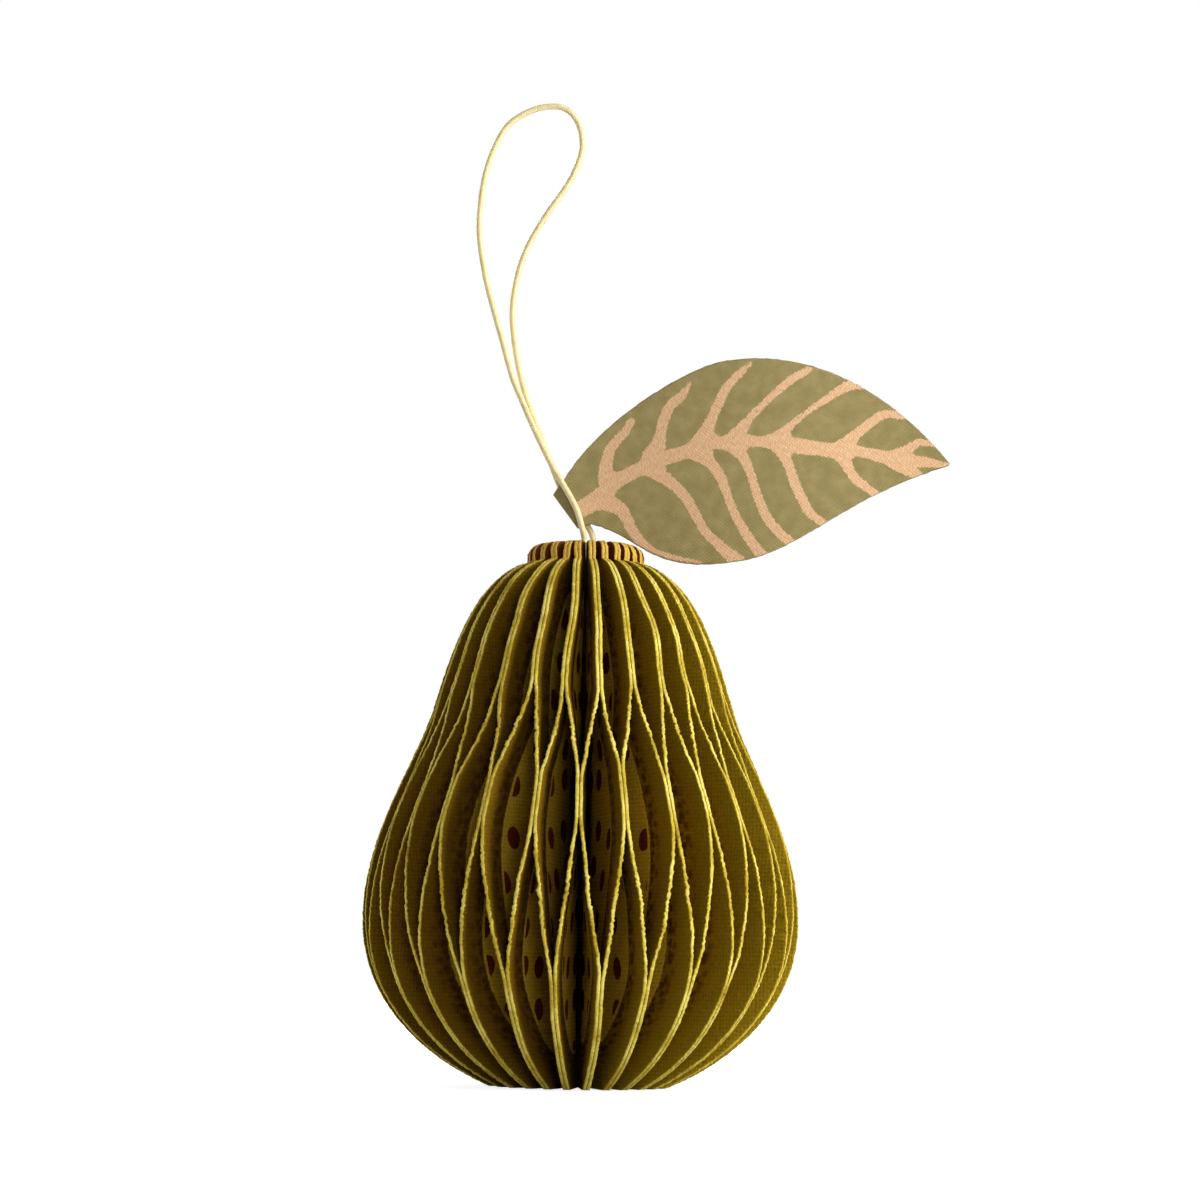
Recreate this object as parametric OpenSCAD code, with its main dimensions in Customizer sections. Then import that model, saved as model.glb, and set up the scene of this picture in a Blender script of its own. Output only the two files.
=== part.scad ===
// Pear-shaped honeycomb ornament: half-pear pages of thick cotton paper round a spine,
// glued by turns to the neighbour on one side and on the other, with a paper leaf
// folded over its cord. Lengths are in millimetres and angles in degrees.
// The pear stands on z = 0 round the Z axis and is seen from -Y.

/* [Pear] */
// Height of the pear from its foot to the top of its collar
pear_height = 79; // [72:0.5:90]
// Radius of the belly where it is widest
belly_radius = 31.7; // [27:0.1:36]
// Height of the widest part of the belly above the foot
belly_height = 24; // [20:0.5:29]
// Radius at the waist, where the neck runs into the belly
waist_radius = 22; // [18:0.1:25]
// Height of the waist above the foot
waist_height = 54.6; // [50:0.1:58]
// How fast the radius grows going down through the waist, as run over drop
waist_slope = 0.29; // [0.15:0.01:0.45]
// Radius of the collar that the page tops form
collar_radius = 8.6; // [7.6:0.1:11]
// Height of the collar
collar_height = 2.8; // [2:0.1:5]
// Size of the rounded corner at the top of each page
collar_round = 1.8; // [0.8:0.1:1.9]
// Radius of the flat foot that the pear stands on
foot_radius = 13; // [9:0.5:18]

/* [Pages] */
// Number of pairs of pages round the spine
page_pairs = 27; // [20:1:30]
// Thickness of the cotton paper
paper = 0.5; // [0.3:0.05:0.6]
// Thickness of the glue film between two pages
glue_film = 0.04; // [0.03:0.01:0.06]

/* [Glue bands] */
// Height where the upper band ends, which runs up to the collar
upper_band_low = 56.5; // [50:0.5:66]
// Height where the middle band, glued to the other neighbour, starts to part upward
middle_band_high = 44; // [40:0.5:50]
// Height where the middle band starts to part downward
middle_band_low = 37.5; // [28:0.5:42]
// Height where the lower band ends, which runs down to the foot
lower_band_high = 16; // [12:0.5:30]

/* [Spine] */
// How far the top of the spine lies under the top of the collar
spine_recess = 2.5; // [1:0.1:5]
// Depth of the hole in the spine that holds both ends of the cord
cord_hole_depth = 9.5; // [6:0.5:15]
// Room in that hole beside the two strands
cord_hole_room = 1; // [0.6:0.1:1.6]

/* [Leaf] */
// Length of the leaf from the middle of its fold to the tip
leaf_length = 57.6; // [45:0.1:70]
// How far the leaf's upper edge rises over its midline
leaf_rise = 19.2; // [14:0.1:22]
// How far the leaf's lower edge drops under its midline
leaf_drop = 10.8; // [8:0.1:12]
// Tilt of the leaf's midline over the level
leaf_tilt = 7.7; // [2:0.1:20]
// Thickness of the leaf's paper
leaf_paper = 0.5; // [0.3:0.05:0.6]
// How far the middle of the leaf bows toward the viewer
leaf_bow = 1.8; // [0:0.1:4]
// Height of the middle of the fold above the top of the collar
fold_rise = 5.3; // [4.5:0.1:7]
// How far the middle of the fold's outer edge lies beside the pear's axis
fold_offset = 3.2; // [2.9:0.1:3.5]
// Length of the fold that holds the leaf on the cord
fold_length = 6; // [5:0.1:7]
// Slant of the fold off the square to the midline
fold_slant = 28.9; // [20:0.1:40]
// How much the leaf widens past each end of the fold
stem_flare = 0.8; // [0.4:0.1:1.2]
// Length of the tab that is folded behind the leaf and glued there
tab_length = 5; // [4.2:0.1:7]
// Room in the fold round the cord
fold_room = 0.45; // [0.35:0.05:0.55]

/* [Cord] */
// Diameter of the cord
cord_diameter = 0.9; // [0.7:0.05:1.1]

/* [Hidden] */
PAGES = 2 * page_pairs;
PAGE_ANGLE = 360 / PAGES;
// The pages' inner edges stand as close together as their thickness lets them
INNER_RADIUS = (paper + glue_film) / (2 * sin(PAGE_ANGLE / 2));
SPINE_RADIUS = INNER_RADIUS - glue_film;
SPINE_TOP = pear_height - spine_recess;
CORD_HOLE = 2 * cord_diameter + cord_hole_room;
CORD_END = -spine_recess - cord_hole_depth;
COLLAR_FOOT = pear_height - collar_height;
VIEW_SIDE = -90;

// Steps along each stretch of the outline
BELLY_STEPS = 8;
NECK_STEPS = 8;
SHOULDER_STEPS = 6;

CORD_SIDES = 8;
// The cord's route over the top of the collar: up from the spine in front of the leaf,
// round the loop, and down behind through the leaf's fold
ROUTE = [
    [-0.4, -0.4, CORD_END], [-0.4, -0.5, 0.25 * CORD_END], [-0.3, -0.9, 0.8],
    [-0.7, -1.4, 2.8], [-1.4, -1.5, 5.1], [-2.5, -1.5, 7.3], [-3.7, -1.5, 9.3],
    [-5.9, -1.1, 13.2], [-8.4, -0.7, 18.4], [-10, -0.6, 22], [-11.5, -0.6, 25.6],
    [-12.9, -0.5, 30.5], [-14.4, -0.5, 35.6], [-15.8, -0.4, 41], [-16.8, -0.2, 48],
    [-16.2, -0.2, 55.3], [-14.7, -0.1, 60.4], [-12.5, 0, 64.2], [-9, 0, 66.4],
    [-5.6, 0, 67], [-3.5, 0, 66.2], [-2.1, 0.1, 64.3], [-1.5, 0.1, 61.5],
    [-1.9, 0.2, 58.8], [-3.6, 0.3, 55], [-6.6, 0.3, 50.5], [-9.4, 0.4, 45.5],
    [-10.9, 0.5, 41], [-11.6, 0.5, 36], [-11.3, 0.5, 31.5], [-10.4, 0.5, 26.5],
    [-9, 0.5, 21.6], [-7.2, 0.5, 17], [-5.5, 0.5, 12.7], [-3.8, 0.5, 8.6],
    [-2, 0.5, 6.2], [-0.3, 0.5, 3.9], [1, 0.5, 1.2], [0.7, 0.4, 0.25 * CORD_END],
    [0.6, 0.4, CORD_END]
];

// Depth at which the rear strand runs through the fold
FOLD_Y = 0.5;
FOLD_STEPS = 7;
TAB_STEPS = 4;
LEAF_STEPS = 24;
FOLD_RADIUS = cord_diameter / 2 + fold_room + leaf_paper / 2;
FOLD_MID = FOLD_RADIUS + leaf_paper / 2;
FRONT_Y = FOLD_Y - FOLD_RADIUS;
TAB_DROP = 2 * FOLD_RADIUS - leaf_paper - glue_film;
TAB_SLOPE_RUN = 2.6 * FOLD_RADIUS;

// Point on a cubic curve from a to d, drawn toward b and c
function cubic(a, b, c, d, t) =
    pow(1 - t, 3) * a + 3 * pow(1 - t, 2) * t * b + 3 * (1 - t) * t * t * c + pow(t, 3) * d;

// Share from 0 to 1 that starts and ends gently
function gentle(x) = x * x * (3 - 2 * x);
function clamp(x) = min(1, max(0, x));

// Triangles round a closed stack of sections that have the same number of points.
// Opposite faces of a sheet are cut along the same diagonal, so it keeps its thickness.
function ring_faces(rows, n) = [
    for (i = [0:rows - 2], j = [0:n - 1])
        let (a = i * n + j, b = i * n + (j + 1) % n)
            each j < n / 2 ? [[a, b, b + n], [a, b + n, a + n]]
                           : [[a, b, a + n], [b, b + n, a + n]]
];
function end_faces(rows, n) = concat(
    [for (j = [1:n - 2]) [0, j + 1, j]],
    [for (j = [1:n - 2]) [(rows - 1) * n, (rows - 1) * n + j, (rows - 1) * n + j + 1]]
);

// Outline of a page as [radius, height], from the foot up to the collar
FOOT = [foot_radius, 0];
BELLY = [belly_radius, belly_height];
WAIST = [waist_radius, waist_height];
COLLAR = [collar_radius, COLLAR_FOOT];
BELLY_TO_WAIST = waist_height - belly_height;
WAIST_TO_COLLAR = COLLAR_FOOT - waist_height;
FOOT_PULL = [0.34 * (belly_radius - foot_radius), 0.11 * belly_height];
BELLY_PULL_DOWN = [0, -0.59 * belly_height];
BELLY_PULL_UP = [0, 0.42 * BELLY_TO_WAIST];
WAIST_PULL_DOWN = 0.27 * BELLY_TO_WAIST * [waist_slope, -1];
WAIST_PULL_UP = 0.4 * WAIST_TO_COLLAR * [-waist_slope, 1];
SHOULDER_PULL = [0.57 * (waist_radius - collar_radius), -0.083 * WAIST_TO_COLLAR];
OUTLINE = concat(
    [for (i = [0:BELLY_STEPS - 1])
        cubic(FOOT, FOOT + FOOT_PULL, BELLY + BELLY_PULL_DOWN, BELLY, i / BELLY_STEPS)],
    [for (i = [0:NECK_STEPS - 1])
        cubic(BELLY, BELLY + BELLY_PULL_UP, WAIST + WAIST_PULL_DOWN, WAIST, i / NECK_STEPS)],
    [for (i = [0:SHOULDER_STEPS])
        cubic(WAIST, WAIST + WAIST_PULL_UP, COLLAR + SHOULDER_PULL, COLLAR,
              i / SHOULDER_STEPS)],
    [for (a = [0, 45, 90])
        [collar_radius - collar_round * (1 - cos(a)),
         pear_height - collar_round * (1 - sin(a))]]
);

// How a page leans at a height: 1 toward its first partner, -1 toward the other one.
// Between two glue bands it runs straight from one to the other.
function lean(z) =
    z > middle_band_high
        ? 2 * clamp((z - middle_band_high) / (upper_band_low - middle_band_high)) - 1
        : 1 - 2 * clamp((z - lower_band_high) / (middle_band_low - lower_band_high));

// One level section of a page: a straight strip from the spine out to the outline
function page_section(r, z, side) =
    let (
        half = (paper + glue_film) / 2,
        swing = side * lean(z) * (PAGE_ANGLE / 2 - asin(half / r)),
        inner = [INNER_RADIUS, 0],
        outer = r * [cos(swing), sin(swing)],
        along = (outer - inner) / norm(outer - inner),
        across = paper / 2 * [-along.y, along.x]
    )
    [for (p = [inner - across, outer - across, outer + across, inner + across])
        [p.x, p.y, z]];

module page(number) {
    side = number % 2 == 1 ? 1 : -1;
    points = [for (q = OUTLINE) each page_section(q[0], q[1], side)];
    rows = len(OUTLINE);
    color("#8a8420")
        rotate([0, 0, VIEW_SIDE + (number - 0.5) * PAGE_ANGLE])
            polyhedron(points, concat(ring_faces(rows, 4), end_faces(rows, 4)));
}

// Slim core that the spine edges of the pages are bound to, with the hole for the cord
module spine_core() {
    color("#6b5a1e")
        difference() {
            cylinder(r = SPINE_RADIUS, h = SPINE_TOP, $fn = 96);
            translate([0, 0, SPINE_TOP - cord_hole_depth])
                cylinder(d = CORD_HOLE, h = cord_hole_depth + 1, $fn = 48);
        }
}

// A point and a direction of the cord between two points of its route
function route_point(i) = ROUTE[min(len(ROUTE) - 1, max(0, i))] + [0, 0, pear_height];
function route_tangent(i) =
    i == 0 || i == len(ROUTE) - 1
        ? [0, 0, i == 0 ? 3 : -3]
        : (route_point(i + 1) - route_point(i - 1)) / 2;
function route_at(i, t) =
    let (a = route_point(i), d = route_point(i + 1))
        i >= len(ROUTE) - 1 ? a
            : cubic(a, a + route_tangent(i) / 3, d - route_tangent(i + 1) / 3, d, t);
function route_heading(i, t) =
    t == 0 ? route_tangent(i) : route_at(i, t + 0.05) - route_at(i, t - 0.05);
function cord_ring(i, t) =
    let (
        along = route_heading(i, t) / norm(route_heading(i, t)),
        depth = [0, 1, 0] - along.y * along,
        up = depth / norm(depth),
        side = cross(up, along)
    )
    [for (k = [0:CORD_SIDES - 1])
        let (a = 360 * (k + 0.5) / CORD_SIDES)
            route_at(i, t) + cord_diameter / 2 * (cos(a) * side + sin(a) * up)];
// A ring at each point of the route and one halfway to the next
CORD_STOPS = [
    for (i = [0:len(ROUTE) - 1], t = [0, 0.5])
        if (t == 0 || i < len(ROUTE) - 1) [i, t]
];

module hanging_cord() {
    points = [for (s = CORD_STOPS) each cord_ring(s[0], s[1])];
    rows = len(CORD_STOPS);
    color("#ebdca5")
        polyhedron(points, concat(ring_faces(rows, CORD_SIDES), end_faces(rows, CORD_SIDES)));
}

// The leaf lies in a plane of its own: u runs from the fold to the tip and v across it
function leaf_point(uv, y) = [
    uv[0] * cos(leaf_tilt) - uv[1] * sin(leaf_tilt) - fold_offset,
    y,
    uv[0] * sin(leaf_tilt) + uv[1] * cos(leaf_tilt) + pear_height + fold_rise
];
UPPER_PEAK = [0.47 * leaf_length, leaf_rise];
LOWER_PEAK = [0.41 * leaf_length, -leaf_drop];
LEAF_TIP = [leaf_length, 0];
// Directions along the fold and out of it, and the ends of the leaf's edge beside it
FOLD_ALONG = [sin(fold_slant), -cos(fold_slant)];
FOLD_OUT = [cos(fold_slant), sin(fold_slant)];
FOLD_START = -fold_length / 2 * FOLD_ALONG;
STEM_UPPER = FOLD_START + 1.8 * FOLD_MID * FOLD_OUT - stem_flare * FOLD_ALONG;
STEM_LOWER = FOLD_START + 1.35 * FOLD_MID * FOLD_OUT + (fold_length + stem_flare) * FOLD_ALONG;
function upper_edge(t) =
    t < 0.5
        ? cubic(STEM_UPPER, STEM_UPPER + [0.104 * leaf_length, 0.419 * leaf_rise],
                UPPER_PEAK - [0.112 * leaf_length, 0], UPPER_PEAK, 2 * t)
        : cubic(UPPER_PEAK, UPPER_PEAK + [0.277 * leaf_length, 0],
                LEAF_TIP + [-0.083 * leaf_length, 0.417 * leaf_rise], LEAF_TIP, 2 * t - 1);
function lower_edge(t) =
    t < 0.5
        ? cubic(STEM_LOWER, STEM_LOWER + [0.132 * leaf_length, -0.263 * leaf_drop],
                LOWER_PEAK - [0.226 * leaf_length, 0], LOWER_PEAK, 2 * t)
        : cubic(LOWER_PEAK, LOWER_PEAK + [0.176 * leaf_length, 0],
                LEAF_TIP - [0.297 * leaf_length, 0.291 * leaf_drop], LEAF_TIP, 2 * t - 1);
function bow_y(uv) = FRONT_Y - leaf_bow * (1 - cos(360 * clamp(uv[0] / leaf_length))) / 2;
function front_section(t) = [
    for (side = [-1, 1], uv = side < 0 ? [upper_edge(t), lower_edge(t)]
                                       : [lower_edge(t), upper_edge(t)])
        leaf_point(uv, bow_y(uv) + side * leaf_paper / 2)
];
// A section along the fold at q out from its outer edge and at depth y, facing the way n
function fold_section(q, y, n, top, bottom) = [
    for (side = [1, -1], s = side > 0 ? [top, bottom] : [bottom, top])
        leaf_point(FOLD_START + (q + side * n[0] * leaf_paper / 2) * FOLD_OUT + s * FOLD_ALONG,
                   y + side * n[1] * leaf_paper / 2)
];
function bend_section(a) =
    let (q = FOLD_MID - FOLD_RADIUS * sin(a))
        fold_section(q, FOLD_Y + FOLD_RADIUS * cos(a), [-sin(a), cos(a)],
                     -0.35 * q, fold_length + 0.45 * q);
// The tab behind the leaf comes down onto its back and narrows to a round end
function tab_section(x) =
    let (
        down = clamp(x * tab_length / TAB_SLOPE_RUN),
        q = FOLD_MID + x * tab_length,
        slope = -TAB_DROP * 6 * down * (1 - down) / TAB_SLOPE_RUN,
        trim = 0.25 * fold_length * pow(x, 4)
    )
    fold_section(q, FOLD_Y + FOLD_RADIUS - TAB_DROP * gentle(down),
                 [-slope, 1] / norm([slope, 1]),
                 -0.35 * FOLD_MID + trim, fold_length + 0.45 * FOLD_MID - trim);

module leaf() {
    sections = concat(
        [for (i = [TAB_STEPS:-1:1]) tab_section(i / TAB_STEPS)],
        [for (i = [0:FOLD_STEPS]) bend_section(180 * i / FOLD_STEPS)],
        [for (i = [0:LEAF_STEPS - 1]) front_section(i / LEAF_STEPS)],
        [front_section(0.997)]
    );
    color("#8c8450")
        polyhedron([for (s = sections) each s],
                   concat(ring_faces(len(sections), 4), end_faces(len(sections), 4)));
}

for (i = [1:PAGES])
    page(i);
spine_core();
hanging_cord();
leaf();
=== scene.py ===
# %% [markdown]
# # A pear of honeycomb paper
# The real ornament is 54 half-pear pages of thick cotton paper, bound at a spine and glued
# by turns to the neighbour on one side and on the other, so that they open into cells.
# A paper leaf is folded over the cord that it hangs on.
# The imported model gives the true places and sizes. This script dresses it: each page,
# the leaf and the cord is made again with a finer mesh, and every piece gets its finish.

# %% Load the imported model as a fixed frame
import math

import bmesh
import bpy
import numpy as np
from mathutils import Matrix, Vector


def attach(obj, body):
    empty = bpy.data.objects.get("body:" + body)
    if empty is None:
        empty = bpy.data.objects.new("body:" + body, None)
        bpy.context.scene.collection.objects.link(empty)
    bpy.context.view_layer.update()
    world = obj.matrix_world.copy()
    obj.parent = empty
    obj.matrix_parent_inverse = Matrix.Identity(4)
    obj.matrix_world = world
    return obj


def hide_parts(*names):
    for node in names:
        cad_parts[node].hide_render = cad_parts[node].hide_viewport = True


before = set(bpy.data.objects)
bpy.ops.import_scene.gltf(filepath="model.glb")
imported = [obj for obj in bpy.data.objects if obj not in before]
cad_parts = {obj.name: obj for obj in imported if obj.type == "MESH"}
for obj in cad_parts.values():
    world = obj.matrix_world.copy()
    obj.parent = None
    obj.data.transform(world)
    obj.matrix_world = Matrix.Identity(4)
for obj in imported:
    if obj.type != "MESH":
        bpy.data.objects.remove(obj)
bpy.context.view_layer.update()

scene = bpy.context.scene
MM = 0.001
print("nodes in the frame:", len(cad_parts))

# %% [markdown]
# ## The camera
# The photograph was taken from just above the table with a long lens, and the camera
# looked up a little. The pitch is a turn of the camera and not a lens shift, so that
# other views of the same scene keep a level horizon. A slight roll is kept as well,
# because the pear leans a little to the right in the picture.

# %% Camera
CAMERA_PLACE = (0.00216, -0.440, 0.0184)
LEVEL = math.radians(90)
PITCH = math.radians(6.83)
ROLL = math.radians(0.8425)
camera = bpy.data.objects.new("camera", bpy.data.cameras.new("camera"))
camera.data.lens = 89.87
camera.data.sensor_width = 36
camera.data.clip_start = 0.01
camera.data.clip_end = 20
camera.matrix_world = (
    Matrix.Translation(CAMERA_PLACE)
    @ Matrix.Rotation(LEVEL + PITCH, 4, "X")
    @ Matrix.Rotation(ROLL, 4, "Z")
)
scene.collection.objects.link(camera)
scene.camera = camera
print("camera at", tuple(round(x, 4) for x in camera.location))

# %% [markdown]
# ## The cord
# A thin waxed cotton cord runs up out of the spine in front of the leaf, round a loop
# and down behind, through the fold of the leaf. A Bezier curve with a round bevel is
# the natural tool: its handles are set from the neighbouring points, the same way as in
# the solid, so both follow one line. It is made a mesh at the end, which also gives it
# a UV map along its length for the twist of the strands.

# %% Cord route, in millimetres over the collar
PEAR_HEIGHT = 79
CORD_DIAMETER = 0.9
CORD_END = -12
CORD_END_PULL = 3
CORD_ROUTE = [
    (-0.4, -0.4, CORD_END), (-0.4, -0.5, 0.25 * CORD_END), (-0.3, -0.9, 0.8),
    (-0.7, -1.4, 2.8), (-1.4, -1.5, 5.1), (-2.5, -1.5, 7.3), (-3.7, -1.5, 9.3),
    (-5.9, -1.1, 13.2), (-8.4, -0.7, 18.4), (-10, -0.6, 22), (-11.5, -0.6, 25.6),
    (-12.9, -0.5, 30.5), (-14.4, -0.5, 35.6), (-15.8, -0.4, 41), (-16.8, -0.2, 48),
    (-16.2, -0.2, 55.3), (-14.7, -0.1, 60.4), (-12.5, 0, 64.2), (-9, 0, 66.4),
    (-5.6, 0, 67), (-3.5, 0, 66.2), (-2.1, 0.1, 64.3), (-1.5, 0.1, 61.5),
    (-1.9, 0.2, 58.8), (-3.6, 0.3, 55), (-6.6, 0.3, 50.5), (-9.4, 0.4, 45.5),
    (-10.9, 0.5, 41), (-11.6, 0.5, 36), (-11.3, 0.5, 31.5), (-10.4, 0.5, 26.5),
    (-9, 0.5, 21.6), (-7.2, 0.5, 17), (-5.5, 0.5, 12.7), (-3.8, 0.5, 8.6),
    (-2, 0.5, 6.2), (-0.3, 0.5, 3.9), (1, 0.5, 1.2), (0.7, 0.4, 0.25 * CORD_END),
    (0.6, 0.4, CORD_END),
]
route = np.array(CORD_ROUTE) + [0, 0, PEAR_HEIGHT]
pull = np.zeros_like(route)
pull[1:-1] = (route[2:] - route[:-2]) / 2
pull[0], pull[-1] = (0, 0, CORD_END_PULL), (0, 0, -CORD_END_PULL)


def cubic(a, b, c, d, t):
    """Points on a cubic curve from a to d, drawn toward b and c."""
    t = np.asarray(t, float)[:, None]
    return (1 - t) ** 3 * a + 3 * (1 - t) ** 2 * t * b + 3 * (1 - t) * t**2 * c + t**3 * d


def smooth_line(points, pulls, steps):
    """Many points on a smooth line through a few, with a direction given at each."""
    return np.vstack([
        cubic(a, a + pull_a / 3, b - pull_b / 3, b, np.arange(steps) / steps)
        for a, b, pull_a, pull_b in zip(points[:-1], points[1:], pulls[:-1], pulls[1:])
    ] + [points[-1:]])


# %% Linking a piece


def link(name, mesh):
    """Puts a finished mesh into the scene as a piece that rides on the one body."""
    piece = bpy.data.objects.new(name, mesh)
    scene.collection.objects.link(piece)
    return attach(piece, "root")


# %% Cord piece
curve = bpy.data.curves.new("cord_curve", "CURVE")
curve.dimensions = "3D"
curve.resolution_u = 6
curve.bevel_depth = CORD_DIAMETER / 2 * MM
curve.bevel_resolution = 4
curve.use_fill_caps = True
spline = curve.splines.new("BEZIER")
spline.bezier_points.add(len(route) - 1)
for point, place, draw in zip(spline.bezier_points, route, pull):
    point.handle_left_type = point.handle_right_type = "FREE"
    point.co = place * MM
    point.handle_left = (place - draw / 3) * MM
    point.handle_right = (place + draw / 3) * MM
curve_object = bpy.data.objects.new("cord_curve", curve)
scene.collection.objects.link(curve_object)
bpy.context.view_layer.update()
cord_mesh = bpy.data.meshes.new_from_object(
    curve_object.evaluated_get(bpy.context.evaluated_depsgraph_get())
)
bpy.data.objects.remove(curve_object)
cord_mesh.shade_smooth()
cord = link("cord_loop", cord_mesh)
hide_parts("hanging_cord")
print("cord faces:", len(cord_mesh.polygons), "UV maps:", [u.name for u in cord_mesh.uv_layers])

# %% [markdown]
# ## The outline of a page
# Every page is the same die-cut half pear. Its outline is four smooth stretches: foot to
# belly, belly to waist, waist to the foot of the collar, and the collar with its round
# corner. They are the same curves as in the solid, drawn with many more points.
# The path starts at the bottom of the spine and ends at its top, so the page lies on
# its left, and it can be asked for a point at any distance along it.

# %% Sizes of the pear, in millimetres
BELLY_RADIUS, BELLY_HEIGHT = 31.7, 24
WAIST_RADIUS, WAIST_HEIGHT, WAIST_SLOPE = 22, 54.6, 0.29
COLLAR_RADIUS, COLLAR_HEIGHT, COLLAR_ROUND = 8.6, 2.8, 1.8
FOOT_RADIUS = 13
PAGE_COUNT = 54
PAPER, GLUE_FILM = 0.5, 0.04
HALF_PITCH = (PAPER + GLUE_FILM) / 2
PAGE_ANGLE = 2 * math.pi / PAGE_COUNT
INNER_RADIUS = HALF_PITCH / math.sin(PAGE_ANGLE / 2)
print("pages start, mm from the axis: %.2f" % INNER_RADIUS)

# %% Outline path
# The factors are shares of a curve's width or height. They say how far its handles reach.
foot = np.array([FOOT_RADIUS, 0])
belly = np.array([BELLY_RADIUS, BELLY_HEIGHT])
waist = np.array([WAIST_RADIUS, WAIST_HEIGHT])
collar = np.array([COLLAR_RADIUS, PEAR_HEIGHT - COLLAR_HEIGHT])
to_waist = WAIST_HEIGHT - BELLY_HEIGHT
to_collar = collar[1] - WAIST_HEIGHT
CURVE_STEPS, ROUND_STEPS = 60, 12
steps = np.arange(CURVE_STEPS) / CURVE_STEPS
turn = np.linspace(0, math.pi / 2, ROUND_STEPS)[:, None]
side_line = np.vstack([
    cubic(foot, foot + [0.34 * (BELLY_RADIUS - FOOT_RADIUS), 0.11 * BELLY_HEIGHT],
          belly - [0, 0.59 * BELLY_HEIGHT], belly, steps),
    cubic(belly, belly + [0, 0.42 * to_waist],
          waist + 0.27 * to_waist * np.array([WAIST_SLOPE, -1]), waist, steps),
    cubic(waist, waist + 0.4 * to_collar * np.array([-WAIST_SLOPE, 1]),
          collar + [0.57 * (WAIST_RADIUS - COLLAR_RADIUS), -0.083 * to_collar],
          collar, steps),
    [collar],
    np.hstack([COLLAR_RADIUS - COLLAR_ROUND * (1 - np.cos(turn)),
               PEAR_HEIGHT - COLLAR_ROUND * (1 - np.sin(turn))]),
])
path = np.vstack([[[INNER_RADIUS, 0]], side_line, [[INNER_RADIUS, PEAR_HEIGHT]]])
path_mark = np.concatenate([[0], np.cumsum(np.linalg.norm(np.diff(path, axis=0), axis=1))])
PATH_LENGTH = path_mark[-1]
# Reach in mm over which the direction of the outline is evened out
CORNER_REACH = 0.8


def path_at(s):
    """Radius and height of the outline at distance s along it."""
    s = np.clip(s, 0, PATH_LENGTH)
    return np.stack([np.interp(s, path_mark, path[:, k]) for k in (0, 1)], -1)


def path_inward(s):
    """Direction from the outline into the page, evened out over its corners."""
    along = path_at(s + CORNER_REACH) - path_at(s - CORNER_REACH)
    along /= np.linalg.norm(along, axis=-1, keepdims=True)
    return np.stack([-along[..., 1], along[..., 0]], -1)


def side_radius(z):
    """Radius of the pear at a height."""
    return np.interp(z, side_line[:, 1], side_line[:, 0])


print("outline, mm: %.1f" % PATH_LENGTH)

# %% [markdown]
# ## One flat board for all pages
# All pages share one board: a plain grid, one direction along the outline and the
# other from the edge to the spine. The rows by the edge are cut seven times finer,
# because the torn cotton edge is what the eye sees, and the middle of a page is nearly
# flat. `solidify` gives it two faces and a rim, and the rim is cut in three so that it
# can be rounded. The board is still a straight box: x counts steps along the outline,
# y counts rows inward, and z is the side of the sheet from -1 to 1.

# %% Flat board
COARSE_STEPS = 96
EDGE_CUTS = 6
EDGE_INSETS = [0, 0.25, 0.7, 1.4]
INNER_SHARES = [0.12, 0.3, 0.55, 0.78, 1]
RIM_CUTS = 2
# Rows are whole numbers from 0 at the cut edge, so what lies under this is the edge itself.
ON_EDGE = 0.1
ROWS = len(EDGE_INSETS) + len(INNER_SHARES) - 1
EDGE_ROWS = len(EDGE_INSETS) - 1


def flat_board(columns, rows, name):
    """A bmesh grid from (0, 0) to (columns, rows)."""
    board = bmesh.new()
    bmesh.ops.create_grid(board, x_segments=columns, y_segments=rows, size=1)
    for v in board.verts:
        v.co = ((v.co.x + 1) / 2 * columns, (v.co.y + 1) / 2 * rows, 0)
    print(name, "board:", len(board.faces), "faces")
    return board


def thicken(board):
    """Gives the board two faces at z = -1 and z = 1 and a rim between them."""
    bmesh.ops.solidify(board, geom=board.faces[:], thickness=2)
    low = min(v.co.z for v in board.verts)
    for v in board.verts:
        v.co.z -= low + 1
    bmesh.ops.recalc_face_normals(board, faces=board.faces[:])


def level(edge, axis):
    """Whether both ends of an edge have the same coordinate on an axis."""
    return abs(edge.verts[0].co[axis] - edge.verts[1].co[axis]) < 0.01


page_board = flat_board(COARSE_STEPS, ROWS, "page")
bmesh.ops.subdivide_edges(
    page_board,
    edges=[e for e in page_board.edges if level(e, 1) and e.verts[0].co.y < EDGE_ROWS + 0.5],
    cuts=EDGE_CUTS, use_grid_fill=True,
)
thicken(page_board)
bmesh.ops.subdivide_edges(
    page_board,
    edges=[e for e in page_board.edges if not level(e, 2) and e.verts[0].co.y < ON_EDGE],
    cuts=RIM_CUTS, use_grid_fill=True,
)
for face in page_board.faces:
    face.material_index = int(all(v.co.y < ON_EDGE for v in face.verts))
    face.smooth = True
page_mesh = bpy.data.meshes.new("page_board")
page_board.to_mesh(page_mesh)
page_board.free()
board_xyz = np.zeros(len(page_mesh.vertices) * 3)
page_mesh.vertices.foreach_get("co", board_xyz)
board_step, board_row, board_side = board_xyz.reshape(-1, 3).T
print("page board:", len(page_mesh.vertices), "points,", len(page_mesh.polygons), "faces")

# %% [markdown]
# ## From the board to the half pear
# Each point of the board gets its place in the page's own plane: radius and height.
# Near the edge the rows follow the outline at a fixed depth, like the printed border
# does, and further in they run straight to the spine. These places are also what the
# print is drawn on, so they are kept as a UV map in millimetres. A second UV map holds
# the distance along the outline and the depth under it. An attribute runs from -1 on
# one face over the rim to 1 on the other face.

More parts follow.
